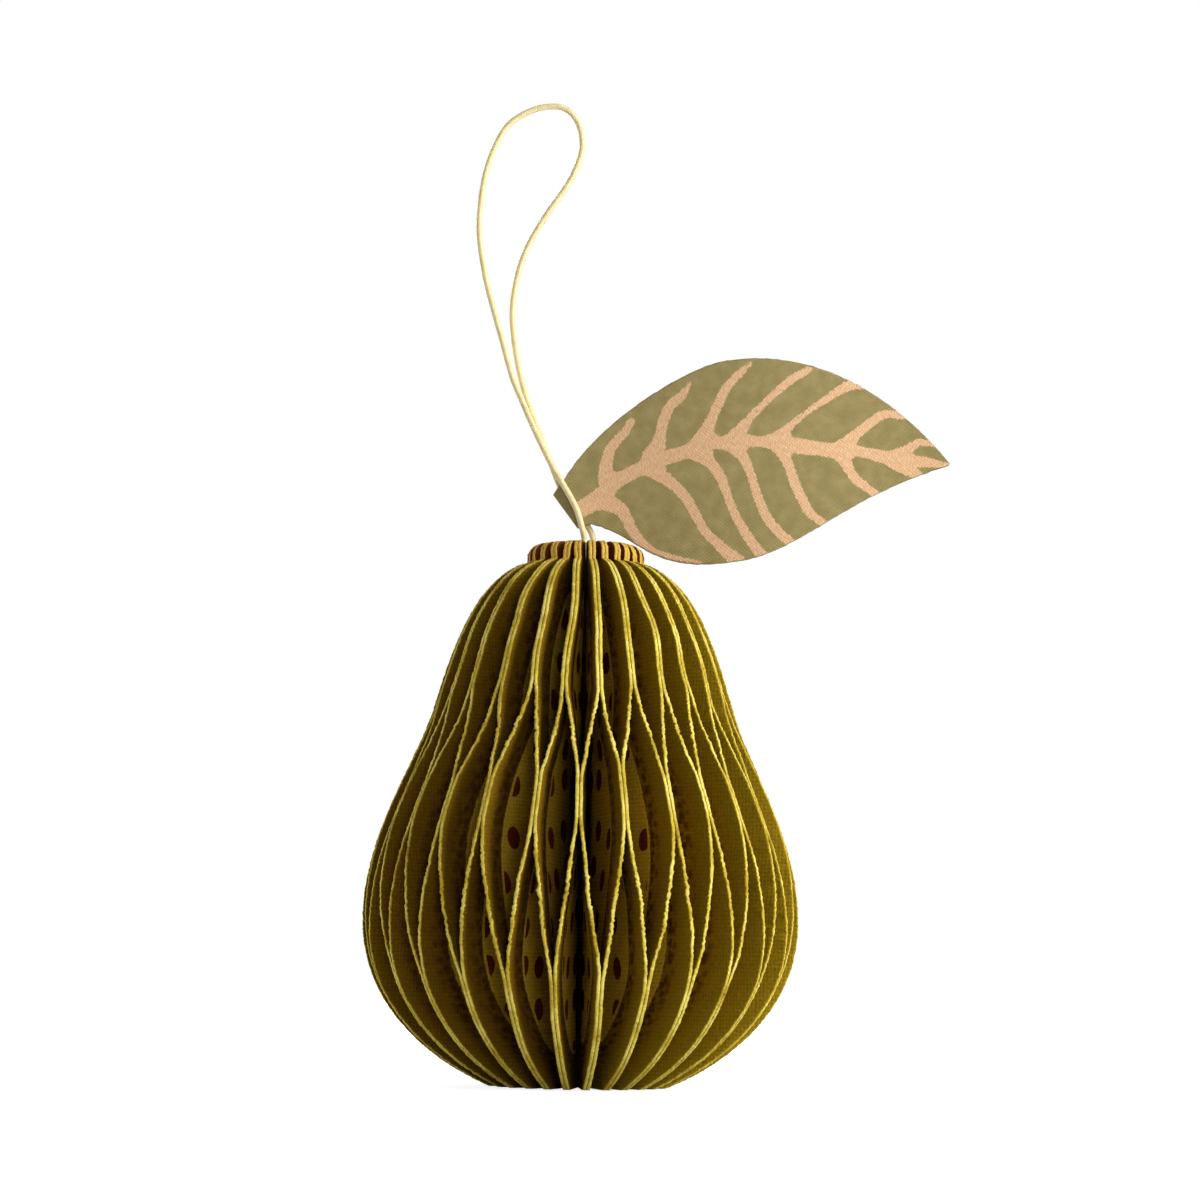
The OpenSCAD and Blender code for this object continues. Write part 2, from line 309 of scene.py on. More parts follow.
# %% Place in the page's plane
# The foot and the collar lie level with the spine's two ends. The lines that run inward
# from them would all meet there, so a small slope spreads them along the spine.
SPINE_MARGIN, SPINE_SLOPE = 4, 0.05
row_marks = np.arange(ROWS + 1)
distance_along = board_step / COARSE_STEPS * PATH_LENGTH
distance_left = PATH_LENGTH - distance_along
inward = path_inward(distance_along)
row_insets = EDGE_INSETS + [EDGE_INSETS[-1]] * len(INNER_SHARES)
inset = np.interp(board_row, row_marks, row_insets)
border = path_at(distance_along) + inward * inset[:, None]
spine_point = np.stack([
    np.full_like(distance_along, INNER_RADIUS),
    np.clip(border[:, 1], SPINE_MARGIN + SPINE_SLOPE * distance_along,
            PEAR_HEIGHT - SPINE_MARGIN - SPINE_SLOPE * distance_left),
], -1)
share = np.interp(board_row, row_marks, [0] * len(EDGE_INSETS) + INNER_SHARES)
page_plane = border + (spine_point - border) * share[:, None]
print("page, mm: %.1f by %.1f" % tuple(np.ptp(page_plane, axis=0)))

# %% UV maps and the side of the sheet
OUTLINE_STEPS = 900


def depth_under(points):
    """Distance from points of the page to the nearest point of the outline."""
    outline = path_at(np.linspace(0, PATH_LENGTH, OUTLINE_STEPS))
    return np.array([np.linalg.norm(outline - p, axis=1).min() for p in points])


page_depth = np.where(board_row <= EDGE_ROWS, inset, depth_under(page_plane))


def add_uv(mesh, name, places):
    """A UV map from one place for each point of the mesh."""
    corner = np.zeros(len(mesh.loops), int)
    mesh.loops.foreach_get("vertex_index", corner)
    mesh.uv_layers.new(name=name).data.foreach_set("uv", places[corner].ravel())


add_uv(page_mesh, "plane", page_plane)
add_uv(page_mesh, "edge", np.stack([distance_along, page_depth], -1))
side = page_mesh.attributes.new("side", "FLOAT", "POINT")
side.data.foreach_set("value", board_side.astype(np.float32))
print("deepest point under the outline, mm: %.1f" % page_depth.max())

# %% [markdown]
# ## How the pages swing
# In the upper and lower bands a page is glued to its first neighbour, and in the middle
# band to the one on its other side. So each page swings from one side of its wedge to
# the other and back, in straight runs. Hand gluing isn't even: each glue band here ends
# a little higher or lower, and the sheets wander gently. Each pair also stands a little
# off its place. In front this is listed pair by pair, after the photograph. Glued partners share
# these errors, so they stay together.

# %% Glue bands
SEED = 41
rng = np.random.default_rng(SEED)
PAIRS = PAGE_COUNT // 2
# Heights of the four band ends in mm, each with how far the gluing strays from it
BAND_ENDS = ((56.5, 0.8), (44, 0.7), (37.5, 0.8), (16, 0.8))
upper_low, middle_high, middle_low, lower_high = (
    height + rng.normal(0, stray, PAIRS) for height, stray in BAND_ENDS
)
# Turns in degrees of the pairs in front, from the left to the right
FRONT_TURNS = {
    "upper": [-2.5, -2, -1.8, 0.3, 0.7, 0.4, -0.5, -0.9, -1.6, -2.6, -3, -3],
    "middle": [-1.3, -2, -1.8, -1.6, 0.5, -0.6, -1.2, -0.7, -1.8, -2.5, -3],
    "lower": [-0.9, 1, 0.9, 1.3, 0.8, -0.1, -0.9, -1.8, -2.5, -3, -3, -3],
}
# Spread of the other pairs' turns in degrees, and of the wander in mm
OTHER_TURNS = 0.5
PAGE_WANDER = 0.1
WANDER = {"upper": 0.18, "middle": 0.05, "lower": 0.06}
WAVES = 2 * math.pi / np.array([23.0, 13.0, 8.0])
WAVE_SIZES = np.array([1.0, 0.6, 0.35])
pair_wander = {}
for band, turns in FRONT_TURNS.items():
    turn = rng.normal(0, OTHER_TURNS, PAIRS)
    turn[np.arange(len(turns)) - len(turns) // 2] = turns
    size = rng.normal(0, WANDER[band], (PAIRS, 3)) * WAVE_SIZES
    pair_wander[band] = (turn, size, rng.uniform(0, 2 * math.pi, (PAIRS, 3)))
page_wander = (rng.normal(0, PAGE_WANDER, (PAGE_COUNT, 3)) * WAVE_SIZES,
               rng.uniform(0, 2 * math.pi, (PAGE_COUNT, 3)))
print("pairs of pages:", PAIRS, "set by hand:", {k: len(v) for k, v in FRONT_TURNS.items()})


def waves(size, phase, z):
    """A gentle wander along the height, from three sines."""
    return (size[:, None] * np.sin(WAVES[:, None] * z + phase[:, None])).sum(0)


# %% Swing of a page
CORNER_SHIFTS = (-0.05, -0.02, 0.02, 0.05)
CHECK_HEIGHTS = 300


def way_share(z, low, high):
    """Share of the way from one glue band up to the next, its corners a little rounded."""
    x = (z - low) / (high - low)
    return sum(np.clip(x + shift, 0, 1) for shift in CORNER_SHIFTS) / len(CORNER_SHIFTS)


def swing_of(number, z):
    """Angle by which a page's outer edge swings out of its plane, and how free it is there."""
    first, other = number // 2, (number + 1) // 2 % PAIRS
    side = 1 if number % 2 == 0 else -1
    above = z > (middle_high[other] + middle_low[other]) / 2
    lean = np.where(
        above,
        2 * way_share(z, middle_high[other], upper_low[first]) - 1,
        1 - 2 * way_share(z, lower_high[first], middle_low[other]),
    )
    radius = side_radius(z)
    swing = side * lean * (PAGE_ANGLE / 2 - np.arcsin(HALF_PITCH / radius))
    outer = (1 + lean) / 2
    stray = 0
    for band, pair, weight in (
        ("upper", first, outer * above),
        ("lower", first, outer * ~above),
        ("middle", other, 1 - outer),
    ):
        offset, size, phase = (values[pair] for values in pair_wander[band])
        stray = stray + weight * (math.radians(offset) + waves(size, phase, z) / radius)
    free = 1 - lean**2
    stray = stray + free * waves(page_wander[0][number], page_wander[1][number], z) / radius
    return swing + stray, free


heights = np.linspace(0, PEAR_HEIGHT, CHECK_HEIGHTS)
edge_angle = np.array([
    (n + 0.5) * PAGE_ANGLE + swing_of(n, heights)[0] for n in range(PAGE_COUNT)
])
edge_gap = (np.roll(edge_angle, -1, 0) - edge_angle) % (2 * math.pi) * side_radius(heights)
print("closest two page edges, mm: %.3f" % edge_gap.min())

# %% [markdown]
# ## Fifty-four pages
# The board is bent into each page by moving its points: out along the straight strip
# from the spine to the edge, up to the height, and half a paper's thickness to either
# side. Cotton rag board is cut with a soft, ragged edge, so each page's outline gets
# its own seeded roughness, outward and sideways, and its thickness changes a little too.
# The rim bulges between its two corners. Where two pages are glued, most of this is
# held back, so that they stay side by side.

# %% Ragged edge
# Reach along the edge and size, in mm, of a coarse and a fine roughness
EDGE_OUTWARD = ((1.6, 0.01), (0.35, 0.03))
EDGE_SIDEWAYS = ((1.9, 0.04), (0.4, 0.05))
EDGE_THICKNESS = ((1.1, 0.02), (0.35, 0.05))
RAGGED_STEPS = 1200
# How far the rim bulges, how much of the raggedness stays where pages are glued, and how
# far a torn edge may stand over the flat top
RIM_BULGE, GLUED_SHARE, TOP_SLACK = 0.06, 0.25, 0.15


def rough_line(reach, size):
    """Seeded roughness along the outline: white noise evened out over a reach in mm."""
    window = np.hanning(max(3, int(reach / PATH_LENGTH * RAGGED_STEPS)) + 2)
    noise = np.convolve(rng.normal(size=RAGGED_STEPS + len(window)), window, "same")
    return size * noise[:RAGGED_STEPS] / noise.std()


rim_bulge = np.where(board_row < ON_EDGE, RIM_BULGE * (1 - board_side**2), 0)
ragged_share = np.interp(board_row, [0, 1, 2, 3], [1, 0.8, 0.4, 0])
ragged_marks = np.linspace(0, PATH_LENGTH, RAGGED_STEPS)


def bend_page(number):
    """Places in millimetres of all points of one page."""
    rough, stray, swell = (
        np.interp(distance_along, ragged_marks, rough_line(*coarse) + rough_line(*fine))
        * ragged_share
        for coarse, fine in (EDGE_OUTWARD, EDGE_SIDEWAYS, EDGE_THICKNESS)
    )
    radius, z = (page_plane - inward * (rough + rim_bulge)[:, None]).T
    z = np.clip(z, 0, PEAR_HEIGHT + TOP_SLACK)
    outer = side_radius(z)
    swing, free = swing_of(number, z)
    loose = GLUED_SHARE + (1 - GLUED_SHARE) * free
    strip = np.stack([outer * np.cos(swing) - INNER_RADIUS, outer * np.sin(swing)], -1)
    along = strip / np.linalg.norm(strip, axis=1, keepdims=True)
    flat = strip * ((radius - INNER_RADIUS) / (outer - INNER_RADIUS))[:, None]
    flat[:, 0] += INNER_RADIUS
    across = np.stack([along[:, 1], -along[:, 0]], -1)
    flat += across * (board_side * (PAPER / 2 + swell * loose) + stray * loose)[:, None]
    angle = -math.pi / 2 + (number + 0.5) * PAGE_ANGLE
    c, s = math.cos(angle), math.sin(angle)
    return np.stack([c * flat[:, 0] - s * flat[:, 1], s * flat[:, 0] + c * flat[:, 1], z], -1)


# %% Pages
pages = []
for number in range(PAGE_COUNT):
    mesh = page_mesh.copy()
    mesh.name = f"paper_page_{number + 1:02d}"
    mesh.vertices.foreach_set("co", (bend_page(number) * MM).ravel())
    mesh.update()
    page = link(mesh.name, mesh)
    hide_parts(f"page_{number + 1:02d}")
    pages.append(page)
print("pages:", len(pages), "triangles in all:",
      len(pages) * sum(len(p.vertices) - 2 for p in page_mesh.polygons))

# %% [markdown]
# ## The leaf
# The leaf is one sheet: a short tab, a fold round the cord's rear strand, and the blade.
# Like a page it starts as a flat board and is bent by moving its points. Its stations
# run from the end of the tab round the fold and along the blade to the tip, and at each
# station a row runs from the upper edge to the lower one.

# %% Sizes of the leaf, in millimetres
LEAF_LENGTH, LEAF_RISE, LEAF_DROP = 57.6, 19.2, 10.8
LEAF_TILT = math.radians(7.7)
LEAF_PAPER, LEAF_BOW = 0.5, 1.8
FOLD_SLANT = math.radians(28.9)
FOLD_RISE, FOLD_OFFSET, FOLD_LENGTH = 5.3, 3.2, 6
STEM_FLARE, TAB_LENGTH, FOLD_ROOM, FOLD_Y = 0.8, 5, 0.45, 0.5
TOP_SPREAD, END_SPREAD, TIP_SHARE, ROW_CROWDING = 0.35, 0.45, 0.998, 0.08
LEAF_BULGE, CORNER_LOSS, LEAF_ROUGHNESS = 0.08, 0.03, 0.03
FOLD_RADIUS = CORD_DIAMETER / 2 + FOLD_ROOM + LEAF_PAPER / 2
FOLD_MID = FOLD_RADIUS + LEAF_PAPER / 2
TAB_DROP = 2 * FOLD_RADIUS - LEAF_PAPER - GLUE_FILM
TAB_SLOPE_RUN = 2.6 * FOLD_RADIUS
TAB_STATIONS, BEND_STATIONS, BLADE_STATIONS, LEAF_ROWS = 12, 14, 110, 46
print("radius of the fold, mm: %.2f" % FOLD_RADIUS)

# %% Edges of the blade
# The factors are the solid's: shares of the leaf's length, its rise and its drop.
fold_along = np.array([math.sin(FOLD_SLANT), -math.cos(FOLD_SLANT)])
fold_out = np.array([math.cos(FOLD_SLANT), math.sin(FOLD_SLANT)])
fold_start = -FOLD_LENGTH / 2 * fold_along
stem_upper = fold_start + 1.8 * FOLD_MID * fold_out - STEM_FLARE * fold_along
stem_lower = fold_start + 1.35 * FOLD_MID * fold_out + (FOLD_LENGTH + STEM_FLARE) * fold_along
upper_peak = np.array([0.47 * LEAF_LENGTH, LEAF_RISE])
lower_peak = np.array([0.41 * LEAF_LENGTH, -LEAF_DROP])
tip = np.array([LEAF_LENGTH, 0])


def blade_edge(t, start, start_pull, peak, peak_pulls, tip_pull):
    """One edge of the blade: a curve to its peak and a second one to the tip."""
    t = np.asarray(t, float)
    first = cubic(start, start + start_pull, peak - [peak_pulls[0], 0], peak, 2 * t)
    second = cubic(peak, peak + [peak_pulls[1], 0], tip + tip_pull, tip, 2 * t - 1)
    return np.where((t < 0.5)[:, None], first, second)


blade_t = np.linspace(0, TIP_SHARE, BLADE_STATIONS)
upper_edge = blade_edge(blade_t, stem_upper, [0.104 * LEAF_LENGTH, 0.419 * LEAF_RISE], upper_peak,
                        (0.112 * LEAF_LENGTH, 0.277 * LEAF_LENGTH),
                        [-0.083 * LEAF_LENGTH, 0.417 * LEAF_RISE])
lower_edge = blade_edge(blade_t, stem_lower, [0.132 * LEAF_LENGTH, -0.263 * LEAF_DROP], lower_peak,
                        (0.226 * LEAF_LENGTH, 0.176 * LEAF_LENGTH),
                        [-0.297 * LEAF_LENGTH, -0.291 * LEAF_DROP])
print("blade, mm: %.1f high" % (upper_edge[:, 1].max() - lower_edge[:, 1].min()))

# %% Stations of the sheet
# Each station has its two ends in the leaf's plane, its depth, and the way the sheet faces.
x = np.arange(TAB_STATIONS, 0, -1) / TAB_STATIONS
down = np.clip(x * TAB_LENGTH / TAB_SLOPE_RUN, 0, 1)
trim = 0.25 * FOLD_LENGTH * x**4
slope = -TAB_DROP * 6 * down * (1 - down) / TAB_SLOPE_RUN
bend = np.pi * np.arange(BEND_STATIONS + 1) / BEND_STATIONS
bend_out = FOLD_MID - FOLD_RADIUS * np.sin(bend)
folded_out = np.concatenate([FOLD_MID + x * TAB_LENGTH, bend_out])
folded_top = np.concatenate([-TOP_SPREAD * FOLD_MID + trim, -TOP_SPREAD * bend_out])
folded_end = np.concatenate([
    FOLD_LENGTH + END_SPREAD * FOLD_MID - trim,
    FOLD_LENGTH + END_SPREAD * bend_out,
])
folded_y = np.concatenate([
    FOLD_Y + FOLD_RADIUS - TAB_DROP * down**2 * (3 - 2 * down),
    FOLD_Y + FOLD_RADIUS * np.cos(bend),
])
facing = np.concatenate([
    np.stack([-slope, np.ones_like(x)], -1) / np.hypot(slope, 1)[:, None],
    np.stack([-np.sin(bend), np.cos(bend)], -1),
])
station_top = np.vstack([
    fold_start + folded_out[:, None] * fold_out + folded_top[:, None] * fold_along,
    upper_edge,
])
station_end = np.vstack([
    fold_start + folded_out[:, None] * fold_out + folded_end[:, None] * fold_along,
    lower_edge,
])
STATIONS = len(station_top) - 1
station_facing = np.vstack([facing, np.tile([0, -1], (BLADE_STATIONS, 1))])
folded = TAB_STATIONS + BEND_STATIONS + 1
print("leaf stations:", STATIONS + 1)

# %% Leaf piece
leaf_board = flat_board(STATIONS, LEAF_ROWS, "leaf")
thicken(leaf_board)
bmesh.ops.subdivide_edges(
    leaf_board, edges=[e for e in leaf_board.edges if not level(e, 2)],
    cuts=RIM_CUTS, use_grid_fill=True,
)
for face in leaf_board.faces:
    face.material_index = int(abs(face.normal.z) < 0.5)
    face.smooth = True
leaf_mesh = bpy.data.meshes.new("leaf")
leaf_board.to_mesh(leaf_mesh)
leaf_board.free()
leaf_xyz = np.zeros(len(leaf_mesh.vertices) * 3)
leaf_mesh.vertices.foreach_get("co", leaf_xyz)
leaf_station, leaf_row, leaf_side = leaf_xyz.reshape(-1, 3).T
print("leaf board:", len(leaf_mesh.vertices), "points")

# %% Bending the leaf
station_index = np.rint(leaf_station).astype(int)
leaf_share = leaf_row / LEAF_ROWS
leaf_share = leaf_share - ROW_CROWDING * np.sin(2 * math.pi * leaf_share)
leaf_plane = (
    station_top[station_index] * (1 - leaf_share)[:, None]
    + station_end[station_index] * leaf_share[:, None]
)
on_rim = (leaf_row < ON_EDGE) | (leaf_row > LEAF_ROWS - ON_EDGE)
leaf_rim = np.where(on_rim, LEAF_BULGE * (1 - leaf_side**2) - CORNER_LOSS * leaf_side**2, 0)
station_rough = rng.normal(0, LEAF_ROUGHNESS, STATIONS + 1)
leaf_rough = np.interp(leaf_station, np.arange(STATIONS + 1), station_rough)
outward = np.where(leaf_row < LEAF_ROWS / 2, 1, -1)
leaf_plane[:, 1] += outward * (leaf_rim + on_rim * leaf_rough)
blade_y = FOLD_Y - FOLD_RADIUS - LEAF_BOW * (
    1 - np.cos(2 * math.pi * np.clip(leaf_plane[:, 0] / LEAF_LENGTH, 0, 1))
) / 2
leaf_y = np.where(
    station_index < folded,
    np.append(folded_y, np.zeros(BLADE_STATIONS))[station_index],
    blade_y,
)
turned = station_facing[station_index] * (-leaf_side * LEAF_PAPER / 2)[:, None]
leaf_flat = leaf_plane + turned[:, :1] * fold_out
c, s = math.cos(LEAF_TILT), math.sin(LEAF_TILT)
leaf_places = np.stack([
    c * leaf_flat[:, 0] - s * leaf_flat[:, 1] - FOLD_OFFSET,
    leaf_y + turned[:, 1],
    s * leaf_flat[:, 0] + c * leaf_flat[:, 1] + PEAR_HEIGHT + FOLD_RISE,
], -1)
leaf_mesh.vertices.foreach_set("co", (leaf_places * MM).ravel())
add_uv(leaf_mesh, "plane", leaf_plane)
leaf_mesh.update()
leaf = link("paper_leaf", leaf_mesh)
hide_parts("leaf")
print("leaf faces:", len(leaf_mesh.polygons))

# %% [markdown]
# ## Veins
# The veins of a leaf are a common pattern: a midrib, and side veins that leave it by
# turns and bend toward the tip. Each is a brush stroke through a few points, wide where
# it leaves the midrib, and where two strokes meet they flow together. For each point of
# the sheet the script works out how far it lies from the nearest brush edge, and keeps
# that as an attribute. The material then draws a crisp, rough edge where it passes zero.

# %% Brush strokes
# Points along the midrib and along each side vein, as place along the leaf, place across
# it, and half the brush's width there, in millimetres.
MIDRIB = [
    (2, -0.3, 1.2), (4.8, 1, 1.3), (8, 3.3, 1.05), (11.6, 4.7, 1), (14.5, 5.6, 1),
    (17.4, 6.1, 1), (19.9, 6.6, 1), (22.8, 7.2, 1), (24.8, 6.9, 0.95), (27, 6.9, 0.9),
    (29.2, 6.6, 0.75), (32.4, 6.1, 1), (35.5, 5.2, 1.15), (38.6, 4.4, 1.05), (41.7, 3.8, 1),
    (44.5, 3.4, 0.78), (47.6, 2.3, 0.95), (50.3, 1.6, 1), (53.9, 0.8, 0.75), (57.2, -0.1, 0.3),
]
UPPER_VEINS = [
    [(6.6, 4, 1.2), (6.8, 5.8, 0.95), (7.5, 7.8, 0.8), (8.7, 9.3, 0.7), (10.1, 10.4, 0.65),
     (11.3, 12, 0.55)],
    [(13.8, 6.4, 1.5), (15, 8.3, 1), (15.6, 10.2, 0.78), (16.2, 11.8, 0.75), (17.4, 13.6, 0.72),
     (19.2, 14.8, 0.65), (20.6, 16.5, 0.22)],
    [(20.9, 7.5, 1.2), (22.3, 9.2, 1), (23.2, 10.9, 0.74), (24.5, 13, 0.7), (25.9, 15.1, 0.65),
     (28.1, 17, 0.55), (30.1, 18.5, 0.22)],
    [(26.1, 7.5, 1.1), (27.4, 8.8, 0.85), (28.8, 10.2, 0.58), (31.4, 12.3, 0.52),
     (34.2, 14.3, 0.58), (36.2, 15.5, 0.6), (38.5, 16.5, 0.5)],
    [(32, 6.6, 0.95), (33.7, 7.7, 0.66), (35.1, 8.7, 0.52), (37.5, 10.2, 0.45), (40.3, 11.7, 0.56),
     (42.7, 12.9, 0.66), (44.4, 13.5, 0.74), (46.6, 13.1, 0.38)],
    [(42, 4.4, 1.1), (43.6, 5.6, 0.82), (45.2, 6.7, 0.7), (47, 7.8, 0.66), (49, 8.6, 0.64),
     (51.7, 8, 0.46)],
    [(50, 2.2, 1), (51.8, 3.1, 0.64), (53.5, 3.8, 0.54), (55.6, 3.3, 0.36)],
]
LOWER_VEINS = [
    [(5.8, 0.6, 1.3), (7.9, -0.6, 1), (8.8, -2.1, 0.84), (9.4, -4, 0.76), (10.4, -5.9, 0.72),
     (12, -7.7, 0.64), (14.4, -8.9, 0.5), (19, -10.4, 0.18)],
    [(13.4, 4.5, 1.2), (15.4, 2.7, 0.9), (17.2, 0.7, 0.78), (18.3, -1.2, 0.74), (19.2, -3.6, 0.66),
     (20.2, -5.9, 0.66), (22, -8.2, 0.76), (24.4, -11, 1.1)],
    [(20.3, 6.1, 1.2), (22.1, 4.4, 0.9), (23.5, 1.6, 0.74), (24.1, -1.2, 0.62),
     (24.8, -3.9, 0.62), (25.5, -5.6, 0.68), (26.8, -8.4, 0.72), (28.2, -10.7, 0.84)],
    [(25.7, 6.6, 1.1), (27.1, 4.4, 0.82), (27.9, 1.8, 0.62), (28.3, -0.9, 0.66),
     (29, -3.6, 0.7), (29.9, -5.8, 0.7), (31.1, -7.5, 0.7), (32.7, -9.4, 0.76)],
    [(32.5, 5.5, 1.05), (33.3, 3.6, 0.82), (33.8, 1.5, 0.7), (34.3, -0.8, 0.76),
     (35, -2.9, 0.7), (35.9, -5, 0.66), (38.1, -7.1, 0.54)],
    [(41.5, 3.4, 1.1), (42.2, 1.7, 0.82), (43, -0.2, 0.72), (44.3, -1.7, 0.64), (46, -3.2, 0.54)],
    [(49.5, 1.2, 1.05), (51.1, -0.1, 0.82), (53.1, -1.4, 0.62)],
]
VEIN_MELT = 0.28
STROKE_STEPS = 6
NO_VEIN = 5
print("side veins:", len(UPPER_VEINS), "above,", len(LOWER_VEINS), "below")

# %% Vein distance


def stroke_distance(places, stroke):
    """Distance from places to the edge of one brush stroke, less than zero inside it."""
    points = np.array(stroke)
    line = smooth_line(points, np.gradient(points, axis=0), STROKE_STEPS)
    nearest = np.full(len(places), np.inf)
    for a, b in zip(line[:-1], line[1:]):
        along = (b - a)[:2]
        part = np.clip((places - a[:2]) @ along / (along @ along), 0, 1)
        away = np.linalg.norm(places - a[:2] - part[:, None] * along, axis=1)
        nearest = np.minimum(nearest, away - a[2] - (b[2] - a[2]) * part)
    return nearest


strokes = [MIDRIB] + UPPER_VEINS + LOWER_VEINS
apart = np.array([stroke_distance(leaf_plane, stroke) for stroke in strokes])
vein_distance = -VEIN_MELT * np.log(np.exp(-np.clip(apart, -4, 12) / VEIN_MELT).sum(0))
vein_distance[station_index < folded - 1] = NO_VEIN
vein = leaf_mesh.attributes.new("vein", "FLOAT", "POINT")
vein.data.foreach_set("value", vein_distance.astype(np.float32))
print("brush strokes:", len(strokes))

# %% [markdown]
# ## The cord's ends
# Both ends sit in the spine's hole, and the leaf is the piece that hangs on it.

# %% [markdown]
# ## Making materials
# A few small helpers turn an sRGB hex colour into Blender's linear numbers, add a node
# with its settings and join it to others, start a material and fill a colour ramp.
# Inputs that have no name of their own are given by number: on a Map Range 1 to 4 are
# the limits from and to, and on a colour Mix 6 and 7 are the two colours.

# %% Colour and node helpers


def ink(hex_colour):
    """Linear RGBA from an sRGB hex colour."""
    parts = [int(hex_colour[k:k + 2], 16) / 255 for k in (1, 3, 5)]
    linear = [p / 12.92 if p <= 0.04045 else ((p + 0.055) / 1.055) ** 2.4 for p in parts]
    return (*linear, 1.0)


def join(tree, node, inputs):
    """Sets each input to a value, or links it to a socket or to a node's first output."""
    for key, value in inputs.items():
        if isinstance(value, bpy.types.Node):
            value = value.outputs[0]
        if isinstance(value, bpy.types.NodeSocket):
            tree.links.new(value, node.inputs[key])
        else:
            node.inputs[key].default_value = value


def add(tree, kind, inputs=None, **settings):
    """Adds a node with its settings and its inputs."""
    node = tree.nodes.new("ShaderNode" + kind)
    for key, value in settings.items():
        setattr(node, key, value)
    join(tree, node, inputs or {})
    return node


def empty_tree(owner):
    """The node tree of a material or a world, cleared."""
    owner.use_nodes = True
    owner.node_tree.nodes.clear()
    return owner.node_tree


def new_material(name):
    """A new material: its data, its tree, and its shader joined to the output."""
    material = bpy.data.materials.new(name)
    tree = empty_tree(material)
    shader = add(tree, "BsdfPrincipled")
    add(tree, "OutputMaterial", {"Surface": shader})
    return material, tree, shader


def set_ramp(node, stops):
    """Sets the stops of a colour ramp from a list of places and hex colours."""
    ramp = node.color_ramp
    while len(ramp.elements) < len(stops):
        ramp.elements.new(1)
    for element, (place, colour) in zip(ramp.elements, stops):
        element.position = place
        element.color = ink(colour)


# %% [markdown]
# ## Printed cotton paper
# The pages are handmade cotton rag paper of about 300 g/m2, screen printed on both
# faces: a brown-olive skin, a band of soft dark dabs under it, a thin light line, and
# yellow flesh with red-brown pips in the middle. One face of each sheet has painted shade:
# it is tinted darker, most in the skin, for the shade on the faces seen on the pear's left.
# Its print also sits nearer to the cut, as the two faces are printed one after the other.
# The paper has a linen tooth of about 0.56 mm. It is matte, so its roughness is high
# and its specular level low. The depth under the outline picks the zone, and the flesh is
# painted darker toward the spine, deep in the cells: painted shade.

# %% Page print
# In mm: the light line's depth, how much nearer to the cut the print is on the face with
# painted shade, and the depth at which the zones end
FLESH_DEPTH, PRINT_SHIFT, PRINT_DEPTH = 6.6, 1.6, 28.0
printed_paper, tree, shader = new_material("printed_cotton_paper")
plane = add(tree, "UVMap", uv_map="plane")
edge_uv = add(tree, "UVMap", uv_map="edge")
place = add(tree, "TexCoord").outputs["Object"]
depth = add(tree, "SeparateXYZ", {0: edge_uv}).outputs["Y"]
height = add(tree, "SeparateXYZ", {0: plane}).outputs["Y"]
bleed = add(tree, "TexNoise", {"Vector": place, "Scale": 1300, "Detail": 4})
bleed_mm = add(tree, "Math", {0: bleed, 1: 0.5}, operation="SUBTRACT")
side = add(tree, "Attribute", attribute_name="side").outputs["Fac"]
shift = add(tree, "MapRange", {0: side, 1: -1, 2: 1, 3: PRINT_SHIFT, 4: 0})
print_depth = add(tree, "Math", {0: depth, 1: shift}, operation="ADD")
rough_depth = add(tree, "Math", {0: bleed_mm, 1: 0.6, 2: print_depth}, operation="MULTIPLY_ADD")
depth_share = add(tree, "Math", {0: rough_depth, 1: PRINT_DEPTH}, operation="DIVIDE")
zones = add(tree, "ValToRGB", {0: depth_share})
# Painted shade: past the light line the flesh darkens toward the spine, where the cells are deep.
set_ramp(zones, [(mm / PRINT_DEPTH, colour) for mm, colour in (
    (0, "#957b10"), (2.5, "#96740d"), (4.5, "#916c0a"), (6.4, "#8e6a0a"),
    (6.6, "#eacb50"), (6.9, "#d9b634"), (28, "#c4a22c"),
)])

# %% Skin with painted shade on one face, and the thin line of bare dyed paper along the cut
# Painted shade: one face of each sheet is tinted darker, fully in the skin and a third as much in
# the flesh, for the shade on the faces seen on the pear's left.
painted_shade_face = add(tree, "MapRange", {0: side, 1: -1, 2: 1, 3: 1, 4: 0})
painted_shade_by_zone = add(tree, "MapRange", {0: rough_depth, 1: FLESH_DEPTH - 0.2, 2: FLESH_DEPTH + 0.1,
                                   3: 1, 4: 0.3})
dark = add(tree, "Math", {0: painted_shade_face, 1: painted_shade_by_zone}, operation="MULTIPLY")
painted_shade_tint = add(tree, "Mix", {0: dark, 6: ink("#ffffff"), 7: ink("#b7b09b")},
                data_type="RGBA").outputs[2]
skin = add(tree, "Mix", {0: 1.0, 6: zones, 7: painted_shade_tint},
           data_type="RGBA", blend_type="MULTIPLY").outputs[2]
cut_depth = add(tree, "Math", {0: bleed_mm, 1: 0.35, 2: depth}, operation="MULTIPLY_ADD")
margin = add(tree, "MapRange", {0: cut_depth, 1: 0.04, 2: 0.16, 3: 0.8, 4: 0})
with_margin = add(tree, "Mix", {0: margin, 6: skin, 7: ink("#a88a24")},
                  data_type="RGBA").outputs[2]
print("nodes for the skin:", len(tree.nodes))

